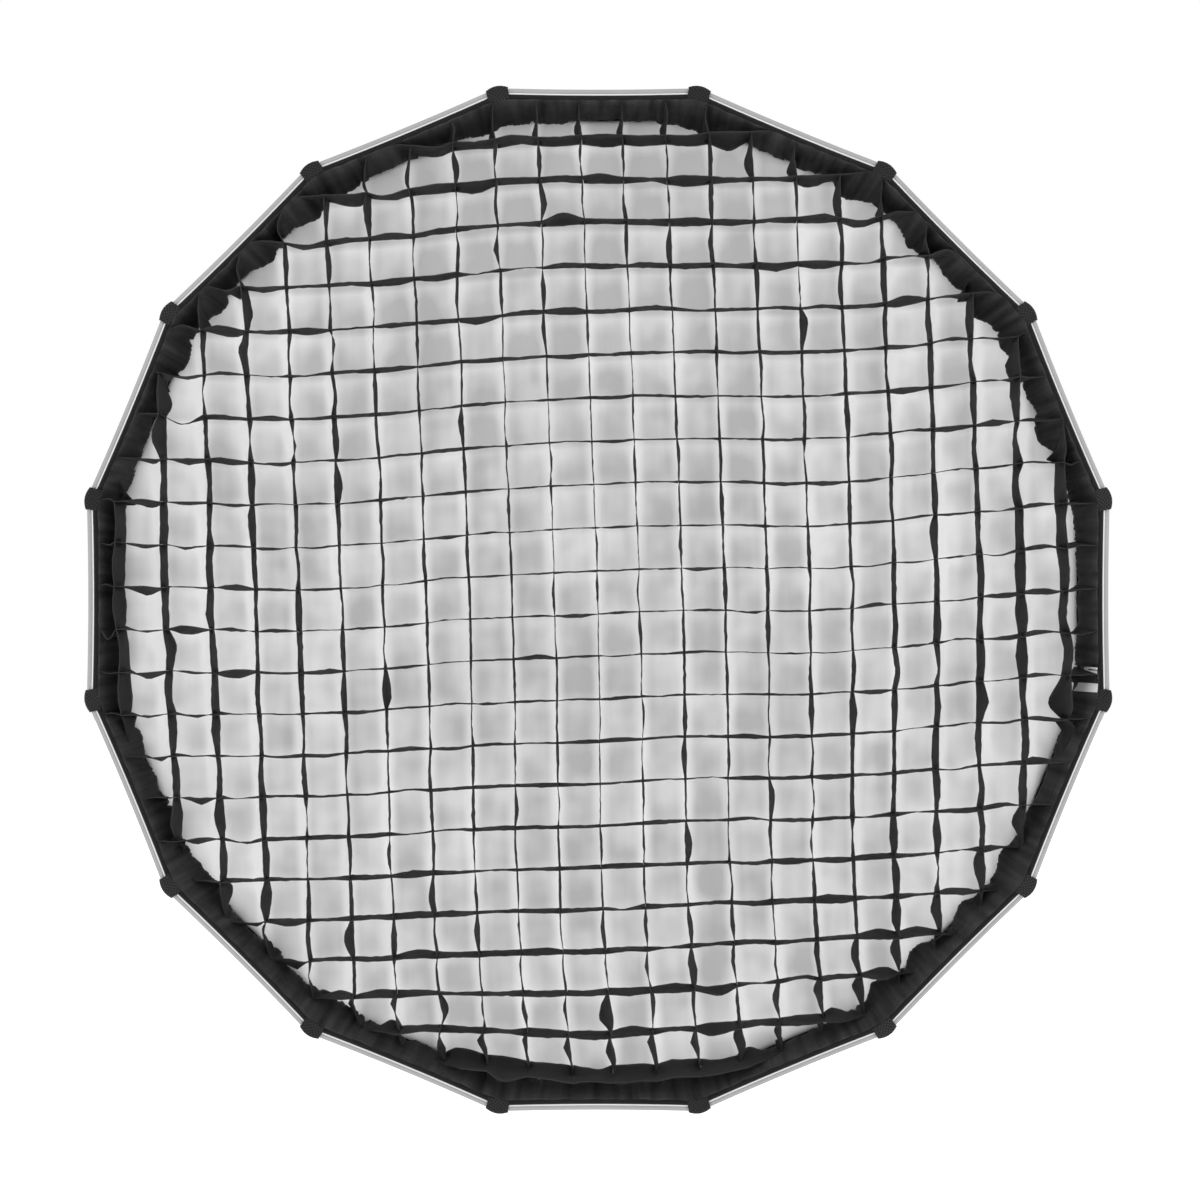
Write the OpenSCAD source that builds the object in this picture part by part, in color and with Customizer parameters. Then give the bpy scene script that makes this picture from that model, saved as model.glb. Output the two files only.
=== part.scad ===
// Square-cell fabric grid, fitted with its diffuser in the sixteen-sided front rim of a softbox.
// The lit front faces -Y and +Z is up. The origin is the centre of the circle of rod sockets, in the
// plane of their mouths, and the rods leave towards +Y. All sizes are in millimetres.

/* [Rim] */
// Width of the rim across two opposite flats
rim_across_flats = 1190; // [1180:10:1240]
// Distance from the front of the rim back to the mouths of the rod sockets
rim_setback = 34; // [32:1:40]
// Radial width of the grey binding tape
binding_width = 5; // [4:0.5:7]
// Depth of the binding tape, front to back
binding_depth = 10; // [8:1:12]
// Radial width of the white piping bead inside the binding
piping_width = 2.2; // [1:0.1:3]
// Depth of the lip band, front to back
lip_depth = 76; // [72:1:90]
// Slope of the lip towards the box's axis, in degrees
lip_slope = 13; // [8:1:14]
// Thickness of the lip's doubled fabric
lip_thickness = 1; // [0.8:0.1:2]

/* [Rod sockets] */
// Diameter of the circle that the sockets stand on
socket_circle = 1205; // [1205:1:1206]
// Bore of one socket, for a rod tip a little under 6 mm
socket_bore = 6; // [5:0.1:6.4]
// Outer diameter of one moulded cup
cup_diameter = 9.5; // [8.5:0.1:9.5]
// Depth of the bore from its mouth
socket_depth = 20; // [15:1:21]

/* [Corner pockets] */
// Reach of a pocket's front flap from the box's axis to its outer edge
pocket_reach = 609.5; // [609:0.5:612]
// Greatest width of a pocket along the rim
pocket_width = 26; // [22:1:30]
// Thickness of a pocket's front flap
pocket_thickness = 2; // [1:0.5:3]

/* [Hook and loop] */
// Thickness of one tape
tape_thickness = 1; // [0.8:0.1:1.2]
// Width of the tape that holds the grid
front_tape_width = 20; // [16:1:25]
// Width of the tape that holds the diffuser
rear_tape_width = 14; // [12:1:14]
// Gap between a hook tape and the loop tape that it lies on
tape_gap = 0.3; // [0.3:0.1:0.5]

/* [Grid] */
// Strips in each direction
strip_count = 23; // [15:2:23]
// Distance from one strip to the next
cell_pitch = 50; // [46:1:50]
// Depth of the strips, front to back
strip_depth = 50; // [40:1:50]
// Thickness of a strip
strip_thickness = 0.8; // [0.5:0.1:1]
// Thickness of the perimeter skirt
skirt_thickness = 0.8; // [0.5:0.1:1]
// How far the grid's front edge stands back from the front of the rim
grid_setback = 4; // [3:1:6]
// Turn of the strips against the rim, anticlockwise seen from the front, as fastened by hand
grid_turn = 2.2; // [0:0.1:3]
// How far the middle of the strips hangs below the rim's axis
grid_drop = 9; // [0:1:10]
// Height of the joint where the skirt's two ends meet, on the right-hand side
joint_height = -81; // [-82:1:-70]
// Gap between the skirt's two ends
joint_gap = 5; // [2:1:6]
// Distance from the middle of the joint down to the closure tab
tab_below = 7; // [4:1:8]
// Width of the closure tab along the skirt
tab_width = 9; // [8:1:10]
// Width of the care tag along the skirt
tag_width = 10; // [8:1:11]

/* [Diffuser] */
// Thickness of the diffuser cloth
cloth_thickness = 0.6; // [0.4:0.1:0.8]
// Gap between the back edges of the grid and the front of the diffuser
cloth_gap = 8; // [6:1:9]

/* [Hidden] */
sides = 16;
side_angle = 360 / sides;
corner_angle = side_angle / 2;
// Gap between two neighbouring runs of a band, at a corner
hairline = 0.3;
fit_gap = 0.2;
// Cuts run past the faces that they open by this much
overcut = 1;
far = 700;

front_y = -rim_setback;
lip_back_y = front_y + lip_depth;
binding_back_y = front_y + binding_depth;
grid_front_y = front_y + grid_setback;
grid_back_y = grid_front_y + strip_depth;
grid_mid_y = (grid_front_y + grid_back_y) / 2;
cloth_y = grid_back_y + cloth_gap;
cloth_back_y = cloth_y + cloth_thickness;

// Distances from the box's axis to the middle of a side, at the front of the rim
rim_apothem = rim_across_flats / 2;
binding_inner = rim_apothem - binding_width;
lip_outer = binding_inner - piping_width;
lip_inner = lip_outer - lip_thickness;
loop_inner = lip_inner - tape_thickness;
hook_outer = loop_inner - tape_gap;
hook_inner = hook_outer - tape_thickness;
skirt_inner = hook_inner - skirt_thickness;

// Outline of a pocket's front flap: its widest place and its cut corners, from its outer edge
flap_widest = 9.5;
flap_corner = 4;
flap_corner_width = 1.5;
flap_edge_width = 6;
// How much narrower a flap is at its inner edge, on each side
flap_taper = 2;
// How far a pocket's flap and its sleeve reach towards the axis from the middle of the rod cup
flap_overlap = 4;
sleeve_overlap = 3;

// The rear loop tape starts in front of the cloth, and the cloth's band ends short of the tape's edge
rear_tape_lead = 1;
hook_band_margin = 2;

// A closure tab and a care tag lie on the skirt's inner face
tab_top = joint_height - tab_below;
tab_thickness = 1.2;
tab_margin = 2;
tag_thickness = 0.4;
tag_margin = 6;
tag_spacing = 1;

slot_width = strip_thickness + fit_gap;
// A strip that would end nearer than this to a crossing is trimmed at the crossing
least_end = 5;
strip_places = [for (i = [1:strip_count]) (i - (strip_count + 1) / 2) * cell_pitch];
upright_heading = 90 + grid_turn;
level_heading = grid_turn;

// How far something that lies along the sloping lip has come in towards the axis at depth y
function drift(y) = (y - front_y) * tan(lip_slope);

// Corners of a regular polygon with as many sides as the rim, first corner on the +X axis
function rim_polygon(apothem) =
    [for (k = [0:sides - 1]) apothem / cos(corner_angle) * [cos(k * side_angle), sin(k * side_angle)]];

// Section of a layer that follows the lip's slope, as distances from the axis and depths
function layer_section(outer, inner, y0, y1) = [
    [outer - drift(y0), y0],
    [outer - drift(y1), y1],
    [inner - drift(y1), y1],
    [inner - drift(y0), y0]
];

// How far a strip runs from the grid's middle to the skirt in the direction "heading", measured in
// degrees from +X towards +Z. It stands "offset" to the right of that direction, at depth y.
function reach(heading, offset, y) = min([
    for (k = [0:sides - 1])
        let (phi = k * side_angle, turn = phi - heading)
            if (cos(turn) > 0.01)
                (skirt_inner - fit_gap - drift(y) + grid_drop * sin(phi) + offset * sin(turn)
                    - strip_thickness / 2 * abs(sin(turn))) / cos(turn)
]);

// How far along a strip its own end leaves room for a slot, which opens at depth slot_y
function slot_room(heading, offset, slot_y) =
    min(reach(heading, offset, grid_mid_y), reach(heading, offset, slot_y)) - least_end;

// Outline of one end of a strip, from its slotted edge to its plain edge
function strip_end(heading, offset, slot_y, plain_y) =
    let (
        reach_mid = reach(heading, offset, grid_mid_y),
        reach_slot = reach(heading, offset, slot_y),
        room = slot_room(heading, offset, slot_y),
        reach_most = max(reach_mid, reach_slot),
        cuts = [for (p = strip_places)
            if (p >= room && p - slot_width / 2 < reach_most) p - slot_width / 2],
        trimmed = len(cuts) > 0 && cuts[0] < reach_mid
    )
    concat(
        [[min(concat(cuts, reach_slot)), slot_y]],
        trimmed ? [[cuts[0], grid_mid_y]] : [],
        [[reach(heading, offset, plain_y), plain_y]]
    );

// Outline of one strip in its own plane. Its half-depth slots open at depth slot_y.
function strip_outline(heading, offset, slot_y, plain_y) =
    let (
        far_end = strip_end(heading, offset, slot_y, plain_y),
        near_end = strip_end(heading + 180, -offset, slot_y, plain_y),
        far_room = slot_room(heading, offset, slot_y),
        near_room = slot_room(heading + 180, -offset, slot_y),
        slots = [for (p = strip_places) if (p < far_room && -p < near_room) p]
    )
    concat(
        [for (i = [len(near_end) - 1:-1:0]) [-near_end[i].x, near_end[i].y]],
        [for (p = slots) each [
            [p - slot_width / 2, slot_y],
            [p - slot_width / 2, grid_mid_y],
            [p + slot_width / 2, grid_mid_y],
            [p + slot_width / 2, slot_y]
        ]],
        far_end
    );

function two_digits(i) = i < 10 ? str("0", i) : str(i);
function strip_name(kind, i) = str(kind, "_strip_", two_digits(i));

rim_nodes = [
    "lip_band", "edge_binding", "edge_piping", "corner_pockets", "rod_cups", "front_loop_tape",
    "rear_loop_tape"
];
diffuser_nodes = ["diffuser_cloth", "diffuser_hook_band"];
trim_nodes = ["grid_skirt", "grid_hook_tape", "closure_tab", "care_tag"];

black_cloth = "#2c2c2e";
black_tape = "#1b1b1c";
black_webbing = "#161617";
grey_tape = "#b4b6b9";
white_cloth = "#ececea";

// ---- Building blocks ----

// Extrudes a shape drawn in X and Z from depth y0 back to depth y1
module along_y(y0, y1) {
    translate([0, y1, 0])
        rotate([90, 0, 0])
            linear_extrude(height = y1 - y0)
                children();
}

// Turns children from the +X side to side number k, counted from +X towards +Z
module at_side(k) {
    rotate([0, -k * side_angle, 0])
        children();
}

// One straight run of a band on the +X side, mitred for the corners at both of its ends
module straight_run(section) {
    intersection() {
        linear_extrude(height = far, center = true)
            polygon(section);
        along_y(-far, far)
            polygon([[hairline, 0], [far, (far - hairline) * tan(corner_angle)],
                     [far, -(far - hairline) * tan(corner_angle)]]);
    }
}

// A band round the rim, one straight run for each side
module band(section) {
    for (k = [0:sides - 1])
        at_side(k)
            straight_run(section);
}

// Repeats a corner's children at all corners. They are drawn with the corner on the +X axis.
module at_corners() {
    for (k = [0:sides - 1])
        rotate([0, -(k + 0.5) * side_angle, 0])
            children();
}

// ---- Front rim ----

module lip_band() {
    color(black_cloth)
        band(layer_section(lip_outer, lip_inner, front_y, lip_back_y));
}

module edge_binding() {
    color(grey_tape)
        band([
            [rim_apothem, front_y],
            [rim_apothem, binding_back_y],
            [binding_inner, binding_back_y],
            [binding_inner, front_y]
        ]);
}

module edge_piping() {
    color("white")
        band([
            [binding_inner, front_y],
            [binding_inner, binding_back_y],
            [lip_outer, binding_back_y],
            [lip_outer, front_y]
        ]);
}

// Outline of one pocket seen from the front, with its corner on the +X axis
module pocket_outline(inner_edge) {
    half = pocket_width / 2;
    half_outline = [
        [inner_edge, half - flap_taper],
        [pocket_reach - flap_widest, half],
        [pocket_reach - flap_corner, half - flap_corner_width],
        [pocket_reach, half - flap_edge_width]
    ];
    polygon(concat(
        half_outline,
        [for (i = [len(half_outline) - 1:-1:0]) [half_outline[i].x, -half_outline[i].y]]
    ));
}

// One pocket: a flap over the front of the binding, a fold round it and a sleeve round the rod cup
module corner_pocket() {
    cup_centre = socket_circle / 2;
    difference() {
        union() {
            along_y(front_y - pocket_thickness, binding_back_y)
                pocket_outline(cup_centre - flap_overlap);
            along_y(binding_back_y, 0)
                pocket_outline(cup_centre - sleeve_overlap);
        }
        along_y(front_y, binding_back_y)
            polygon(rim_polygon(rim_apothem));
        translate([cup_centre, overcut, 0])
            rotate([90, 0, 0])
                cylinder(d = cup_diameter, h = overcut - binding_back_y, $fn = 48);
    }
}

module corner_pockets() {
    color(black_webbing)
        at_corners()
            corner_pocket();
}

// Moulded cups that the tips of the rods push into from behind
module rod_cups() {
    color(black_webbing)
        at_corners()
            translate([socket_circle / 2, 0, 0])
                rotate([90, 0, 0])
                    difference() {
                        cylinder(d = cup_diameter, h = -binding_back_y - fit_gap, $fn = 48);
                        translate([0, 0, -overcut])
                            cylinder(d = socket_bore, h = socket_depth + overcut, $fn = 48);
                    }
}

module front_loop_tape() {
    color(black_tape)
        band(layer_section(lip_inner, loop_inner, front_y, front_y + front_tape_width));
}

module rear_loop_tape() {
    tape_y = cloth_y - rear_tape_lead;
    color(black_tape)
        band(layer_section(lip_inner, loop_inner, tape_y, tape_y + rear_tape_width));
}

// ---- Diffuser ----

module diffuser_cloth() {
    cloth_apothem = hook_outer - drift(cloth_back_y);
    color(white_cloth)
        rotate([0, corner_angle, 0])
            along_y(cloth_y, cloth_back_y)
                polygon(rim_polygon(cloth_apothem));
}

// Sewn round the edge of the cloth and folded back along the lip
module diffuser_hook_band() {
    band_back_y = cloth_y + rear_tape_width - hook_band_margin;
    color(black_tape)
        band(layer_section(hook_outer, hook_inner, cloth_back_y, band_back_y));
}

// ---- Grid ----

// The gap between the two ends of the skirt, on the rim's right-hand side
module skirt_joint() {
    translate([lip_inner / 2, -far, joint_height - joint_gap / 2])
        cube([lip_inner, 2 * far, joint_gap]);
}

module grid_skirt() {
    section = layer_section(hook_inner, skirt_inner, grid_front_y, grid_back_y);
    color(black_cloth)
        difference() {
            band(section);
            skirt_joint();
        }
}

module grid_hook_tape() {
    tape_back_y = front_y + front_tape_width;
    color(black_tape)
        difference() {
            band(layer_section(hook_outer, hook_inner, grid_front_y, tape_back_y));
            skirt_joint();
        }
}

// A flat piece that lies on the skirt's inner face on the right-hand side
module on_skirt(low_z, width, thickness, margin) {
    section = layer_section(skirt_inner, skirt_inner - thickness, grid_front_y + margin,
                            grid_back_y - margin);
    translate([0, 0, low_z])
        linear_extrude(height = width)
            polygon(section);
}

// Webbing sewn across the skirt just under its joint
module closure_tab() {
    color(black_webbing)
        on_skirt(tab_top - tab_width, tab_width, tab_thickness, tab_margin);
}

module care_tag() {
    tag_top = tab_top - tab_width - tag_spacing;
    color("white")
        on_skirt(tag_top - tag_width, tag_width, tag_thickness, tag_margin);
}

// A strip that runs in the direction "heading" and stands "offset" to the right of it
module strip(heading, offset, slot_y, plain_y) {
    color(black_cloth)
        translate([0, 0, -grid_drop])
            rotate([0, -heading, 0])
                translate([0, 0, -offset])
                    linear_extrude(height = strip_thickness, center = true)
                        polygon(strip_outline(heading, offset, slot_y, plain_y));
}

// Strip number i, counted from the left, slotted from its front edge
module upright_strip(i) {
    strip(upright_heading, strip_places[i - 1], grid_front_y, grid_back_y);
}

// Strip number i, counted from the top, slotted from its back edge
module level_strip(i) {
    strip(level_heading, strip_places[i - 1], grid_back_y, grid_front_y);
}

// ---- Drawing ----

lip_band();
edge_binding();
edge_piping();
corner_pockets();
rod_cups();
front_loop_tape();
rear_loop_tape();
diffuser_cloth();
diffuser_hook_band();
grid_skirt();
grid_hook_tape();
closure_tab();
care_tag();
for (i = [1:strip_count])
    upright_strip(i);
for (i = [1:strip_count])
    level_strip(i);
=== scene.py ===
import math

import bpy
import numpy as np
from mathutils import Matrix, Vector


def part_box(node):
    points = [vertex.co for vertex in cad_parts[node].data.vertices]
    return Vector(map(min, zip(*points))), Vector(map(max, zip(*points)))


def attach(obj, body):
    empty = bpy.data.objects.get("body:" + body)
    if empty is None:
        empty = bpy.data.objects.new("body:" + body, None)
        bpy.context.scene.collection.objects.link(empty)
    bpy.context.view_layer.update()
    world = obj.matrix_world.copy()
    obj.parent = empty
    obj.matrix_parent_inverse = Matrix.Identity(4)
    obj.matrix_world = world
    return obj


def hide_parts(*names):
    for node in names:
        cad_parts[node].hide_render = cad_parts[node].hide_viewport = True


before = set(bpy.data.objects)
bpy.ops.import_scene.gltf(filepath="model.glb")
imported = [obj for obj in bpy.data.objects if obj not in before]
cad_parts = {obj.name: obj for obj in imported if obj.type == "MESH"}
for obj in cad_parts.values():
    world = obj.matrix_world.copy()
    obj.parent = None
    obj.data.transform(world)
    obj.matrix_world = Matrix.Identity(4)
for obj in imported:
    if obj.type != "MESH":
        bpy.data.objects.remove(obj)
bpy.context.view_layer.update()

# Sizes are in millimetres and angles round the rim in radians, counted from +X towards +Z.
# Meshes are turned into metres where they are made.
MM = 0.001
SIDES = 16
SIDE_ANGLE = 2 * math.pi / SIDES
HALF_SIDE = SIDE_ANGLE / 2
FULL_TURN = 2 * math.pi

# ---- What the frame says ----


def mesh_points(mesh):
    """The points of a mesh, in millimetres."""
    flat = np.empty(len(mesh.vertices) * 3)
    mesh.vertices.foreach_get("co", flat)
    return flat.reshape(-1, 3) / MM


def node_points(name):
    """The points of a CAD node."""
    return mesh_points(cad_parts[name].data)


lip_points = node_points("lip_band")
FRONT = lip_points[:, 1].min()
LIP_BACK = lip_points[:, 1].max()
lip_starts = lip_points[:, 1] < (FRONT + LIP_BACK) / 2
SLOPE = (lip_points[lip_starts, 0].max() - lip_points[~lip_starts, 0].max()) / (LIP_BACK - FRONT)


def drift(depth):
    """How far what lies along the sloping lip has come in towards the axis at that depth."""
    return (depth - FRONT) * SLOPE


def wall(name):
    """(distance of the outer face, of the inner face, front depth, back depth) of a band on the lip's
    slope. The distances are from the axis to the middle of a side, carried to the front of the rim."""
    points = node_points(name)
    points = points[np.abs(points[:, 2]) < points[:, 0] * math.tan(HALF_SIDE)]
    apart = points[:, 0] + drift(points[:, 1])
    return apart.max(), apart.min(), points[:, 1].min(), points[:, 1].max()


LIP_OUTER, LIP_INNER, _, _ = wall("lip_band")
SKIRT_OUTER, SKIRT_INNER, GRID_FRONT, GRID_BACK = wall("grid_skirt")
SKIRT_MIDDLE = (SKIRT_OUTER + SKIRT_INNER) / 2
GRID_DEPTH = GRID_BACK - GRID_FRONT
RIM_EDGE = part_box("edge_binding")[1].x / MM
BINDING_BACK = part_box("edge_binding")[1].y / MM
cup_reach = np.hypot(*node_points("rod_cups")[:, [0, 2]].T)
CUP_OUTER = (cup_reach.max() - cup_reach.min()) / 2
CUP_CIRCLE = (cup_reach.max() + cup_reach.min()) / 2
CLOTH_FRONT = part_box("diffuser_cloth")[0].y / MM
CLOTH_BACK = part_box("diffuser_cloth")[1].y / MM
# Between these heights the skirt's joint is open, on the right-hand side
GAP_LOW, GAP_HIGH = -83.5, -78.5

# The lattice of the strips, as the CAD model has it
COUNT = 23
PITCH = 50.0
TURN = math.radians(2.2)
DROP = 9.0
PLACES = (np.arange(COUNT) - (COUNT - 1) / 2) * PITCH

# ---- How the cloth hangs ----

# Where the strips hang away from the taut lattice: the middle of the place (across, up), its
# half-widths, and how far the strips are shifted there (across, up)
HANGS = [
    (-320, 150, 190, 420, 0, -17), (270, 80, 170, 420, 0, -14), (-20, -60, 120, 340, 0, -6),
    (-60, 480, 110, 90, 0, 6), (-260, -520, 150, 90, 0, 14), (300, -480, 160, 110, 0, 9),
    (0, -560, 90, 40, 0, -5), (-200, -560, 90, 40, 0, 13), (230, -560, 80, 40, 0, 13),
    (-560, 0, 90, 260, -11, 0), (0, -320, 300, 200, -8, 0), (400, -330, 170, 260, -14, 0),
]
# How far each side of the rim bows in between its two rods
BOW = 1.8
# Share of the way from the rim's sixteen sides to a circle, at the back edge of the skirt
ROUND_BACK = 0.85

rng = np.random.default_rng(23)


def hung(across, up):
    """X and Z of the lattice point (across, up)."""
    x = across * math.cos(TURN) - up * math.sin(TURN)
    z = across * math.sin(TURN) + up * math.cos(TURN) - DROP
    for middle_a, middle_u, wide, high, shift_a, shift_u in HANGS:
        share = np.exp(-(((across - middle_a) / wide) ** 2) - ((up - middle_u) / high) ** 2)
        x = x + shift_a * share
        z = z + shift_u * share
    return x, z


# The lower this is, the rounder are the corners of a sixteen-sided outline
SHARPNESS = 400


def polygon_radius(angle, apart):
    """Distance from the axis to a sixteen-sided outline whose sides stand that far from the axis."""
    total = 0
    for k in range(SIDES):
        total = total + np.maximum(np.cos(angle - k * SIDE_ANGLE), 0) ** SHARPNESS
    return apart / total ** (1 / SHARPNESS)


def bow(angle):
    """How far the rim has bowed in, between its rods."""
    off_middle = (angle + HALF_SIDE) % SIDE_ANGLE - HALF_SIDE
    return BOW * (1 - (off_middle / HALF_SIDE) ** 2)


def ripple(angle, depth, waves, seed):
    """Smooth noise round the rim, about -1 to 1, with that many waves or more in a full turn."""
    draw = np.random.default_rng(seed)
    total = 0
    for _ in range(7):
        count = draw.integers(waves, 3 * waves)
        total = total + np.sin(count * angle + depth * draw.uniform(-0.08, 0.08) + draw.uniform(0, FULL_TURN))
    return total / 4


def lip_radius(angle, depth, apart):
    """Distance from the axis of what lies on the lip."""
    folds = 0.4 + 0.5 * np.exp(-(((np.degrees(angle) % 360 - 270) / 24) ** 2))
    crease = folds * ripple(angle, depth, 60, 3) * np.sin(math.pi * (depth - FRONT) / (LIP_BACK - FRONT))
    return polygon_radius(angle, apart - drift(depth)) - bow(angle) + crease


# How fast the skirt's folds and flaps grow towards its free back edge
FOLD_GROWTH = 1.6
# Larger folds of the skirt's back edge: (direction in degrees, spread, how far it falls in)
FOLDS = [
    (20.5, 2.2, 14), (32, 1.5, 8), (38, 1.7, 9), (48, 1.6, 8), (59, 2.0, 7),
    (77, 1.6, 6), (104, 1.6, 5), (126, 1.5, 6), (134, 1.7, 8), (142, 1.5, 7),
    (150, 1.6, 8), (-154, 2.0, 6), (-143, 1.8, 8), (-133, 1.6, 7), (-124, 1.7, 8),
    (-32, 1.6, 8), (-40, 1.4, 7), (-47.5, 1.6, 9), (-54, 1.8, 8),
]


def fallen_in(angle, share):
    """How far the skirt has fallen in, at that share of the way from its front to its back."""
    degrees = np.degrees((angle + math.pi) % FULL_TURN - math.pi)
    deep = sum(size * np.exp(-(np.abs((degrees - middle) / spread) ** 2.6)) for middle, spread, size in FOLDS)
    return deep * share**FOLD_GROWTH


def skirt_radius(angle, depth, apart):
    """Distance from the axis of what is sewn to the skirt, where a strip ends on it."""
    share = np.clip((depth - GRID_FRONT) / GRID_DEPTH, 0, 1)
    distance = apart - drift(depth)
    sides = polygon_radius(angle, distance)
    rounded = sides + (distance - sides) * ROUND_BACK * share
    return rounded - bow(angle) - fallen_in(angle, share)


# ---- Mesh tools ----


def lattice_faces(rows, columns, closed=False, keep=None):
    """Quads between rows x columns points, numbered row by row. keep says which quads there are."""
    last = columns if closed else columns - 1
    row, column = np.meshgrid(np.arange(rows - 1), np.arange(last), indexing="ij")
    after = (column + 1) % columns
    near, far = row * columns, (row + 1) * columns
    quads = np.stack([near + column, near + after, far + after, far + column], axis=-1)
    return quads[keep] if keep is not None else quads.reshape(-1, 4)


def point_normals(points, quads):
    """The mean normal at each point."""
    corners = points[quads]
    facing = np.cross(corners[:, 2] - corners[:, 0], corners[:, 3] - corners[:, 1])
    normals = np.zeros_like(points)
    for k in range(4):
        np.add.at(normals, quads[:, k], facing)
    return normals / np.maximum(np.linalg.norm(normals, axis=1, keepdims=True), 1e-9)


def thicken(points, quads, weave, thickness):
    """A closed solid of that thickness round a sheet: (points, quads, weave, how many quads are smooth)."""
    used, quads = np.unique(quads, return_inverse=True)
    quads = quads.reshape(-1, 4)
    points, weave = points[used], weave[used]
    count = len(points)
    half = point_normals(points, quads) * thickness / 2
    ways = np.concatenate([quads[:, [k, (k + 1) % 4]] for k in range(4)])
    forward = ways[:, 0] * count + ways[:, 1]
    backward = ways[:, 1] * count + ways[:, 0]
    open_ways = ways[~np.isin(forward, backward)]
    start, stop = open_ways.T
    rim = np.stack([stop, start, start + count, stop + count], axis=1)
    solid = np.concatenate([quads, quads[:, ::-1] + count, rim])
    both = np.concatenate([points + half, points - half])
    return both, solid, np.concatenate([weave, weave]), 2 * len(quads)


def xyz(x, y, z):
    """Points with these coordinates, each of them a number or an array."""
    return np.stack(np.broadcast_arrays(x, y, z), axis=-1)


class Piece:
    """One visible piece, gathered from sheets and solids before it becomes a mesh."""

    def __init__(self, name):
        self.name = name
        self.points, self.quads, self.weave, self.smooth = [], [], [], []
        self.count = 0

    def add(self, points, quads, weave, smooth_quads=None):
        smooth = np.zeros(len(quads), bool)
        smooth[: len(quads) if smooth_quads is None else smooth_quads] = True
        self.points.append(points)
        self.quads.append(quads + self.count)
        self.weave.append(weave)
        self.smooth.append(smooth)
        self.count += len(points)

    def add_sheet(self, points, quads, weave, thickness):
        self.add(*thicken(points, quads, weave, thickness))

    def build(self, material, body, slot, replaces=()):
        mesh = bpy.data.meshes.new(self.name)
        # A quad with a corner named twice becomes a triangle
        faces = [list(dict.fromkeys(quad)) for quad in np.concatenate(self.quads).tolist()]
        mesh.from_pydata((np.concatenate(self.points) * MM).tolist(), [], faces)
        mesh.polygons.foreach_set("use_smooth", np.concatenate(self.smooth))
        weave = mesh.attributes.new("weave", "FLOAT_VECTOR", "POINT")
        weave.data.foreach_set("vector", np.concatenate(self.weave).astype(np.float32).ravel())
        mesh.validate()
        mesh.update()
        piece = bpy.data.objects.new(self.name, mesh)
        bpy.context.scene.collection.objects.link(piece)
        mesh.materials.append(material)
        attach(piece, body)
        if replaces:
            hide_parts(*replaces)
        return piece


def round_rim(radius, depths, steps, keep=None):
    """Points, quads and weave of a band. radius(angle, depth) says where it is, at each of the depths."""
    angle, depth = np.meshgrid(np.arange(steps) / steps * FULL_TURN, depths)
    distance = radius(angle, depth)
    points = xyz(distance * np.cos(angle), depth, distance * np.sin(angle)).reshape(-1, 3)
    weave = xyz(angle * distance.mean(), depth, 0).reshape(-1, 3)
    kept = None if keep is None else keep(angle[:-1], depth[:-1], distance[:-1])
    return points, lattice_faces(len(depths), steps, closed=True, keep=kept), weave


# ---- Materials ----


def add_node(tree, kind, values=(), **settings):
    node = tree.nodes.new(kind)
    for name, value in settings.items():
        setattr(node, name, value)
    for name, value in dict(values).items():
        if isinstance(value, bpy.types.NodeSocket):
            tree.links.new(value, node.inputs[name])
        else:
            node.inputs[name].default_value = value
    return node


def math_node(tree, operation, first, second=0.0):
    return add_node(tree, "ShaderNodeMath", {0: first, 1: second}, operation=operation).outputs[0]


def map_range(tree, value, before, after, **settings):
    """value, carried from the range before to the range after. Both are (from, to) pairs."""
    limits = dict(zip(("From Min", "From Max", "To Min", "To Max"), (*before, *after)))
    return add_node(tree, "ShaderNodeMapRange", {"Value": value, **limits}, **settings).outputs["Result"]


def noise(tree, place, scale, detail):
    values = {"Vector": place, "Scale": scale, "Detail": detail}
    return add_node(tree, "ShaderNodeTexNoise", values).outputs["Fac"]


def mixed(tree, share, first, second):
    """The colour first where share is 0, second where it is 1."""
    return add_node(tree, "ShaderNodeMix", {0: share, 6: first, 7: second}, data_type="RGBA").outputs[2]


def drawn_out(tree, place, scale):
    """A place for a noise that isn't the same size in every direction."""
    return add_node(tree, "ShaderNodeMapping", {"Vector": place, "Scale": scale}).outputs[0]


def attribute(tree, name):
    return add_node(tree, "ShaderNodeAttribute", attribute_name=name).outputs["Vector"]


def grey(value):
    return (value, value, value, 1)


def thread_height(tree, across, along):
    """Height of a plain weave, 0 to 1, with threads that many millimetres apart."""
    parts = add_node(tree, "ShaderNodeSeparateXYZ", {"Vector": attribute(tree, "weave")}).outputs
    warp = math_node(tree, "SINE", math_node(tree, "MULTIPLY", parts[0], math.pi / across))
    weft = math_node(tree, "SINE", math_node(tree, "MULTIPLY", parts[1], math.pi / along))
    # The node adds its third input too, which is 0.5 unless set
    return math_node(tree, "MULTIPLY_ADD", math_node(tree, "MULTIPLY", warp, weft), 0.5)


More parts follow.
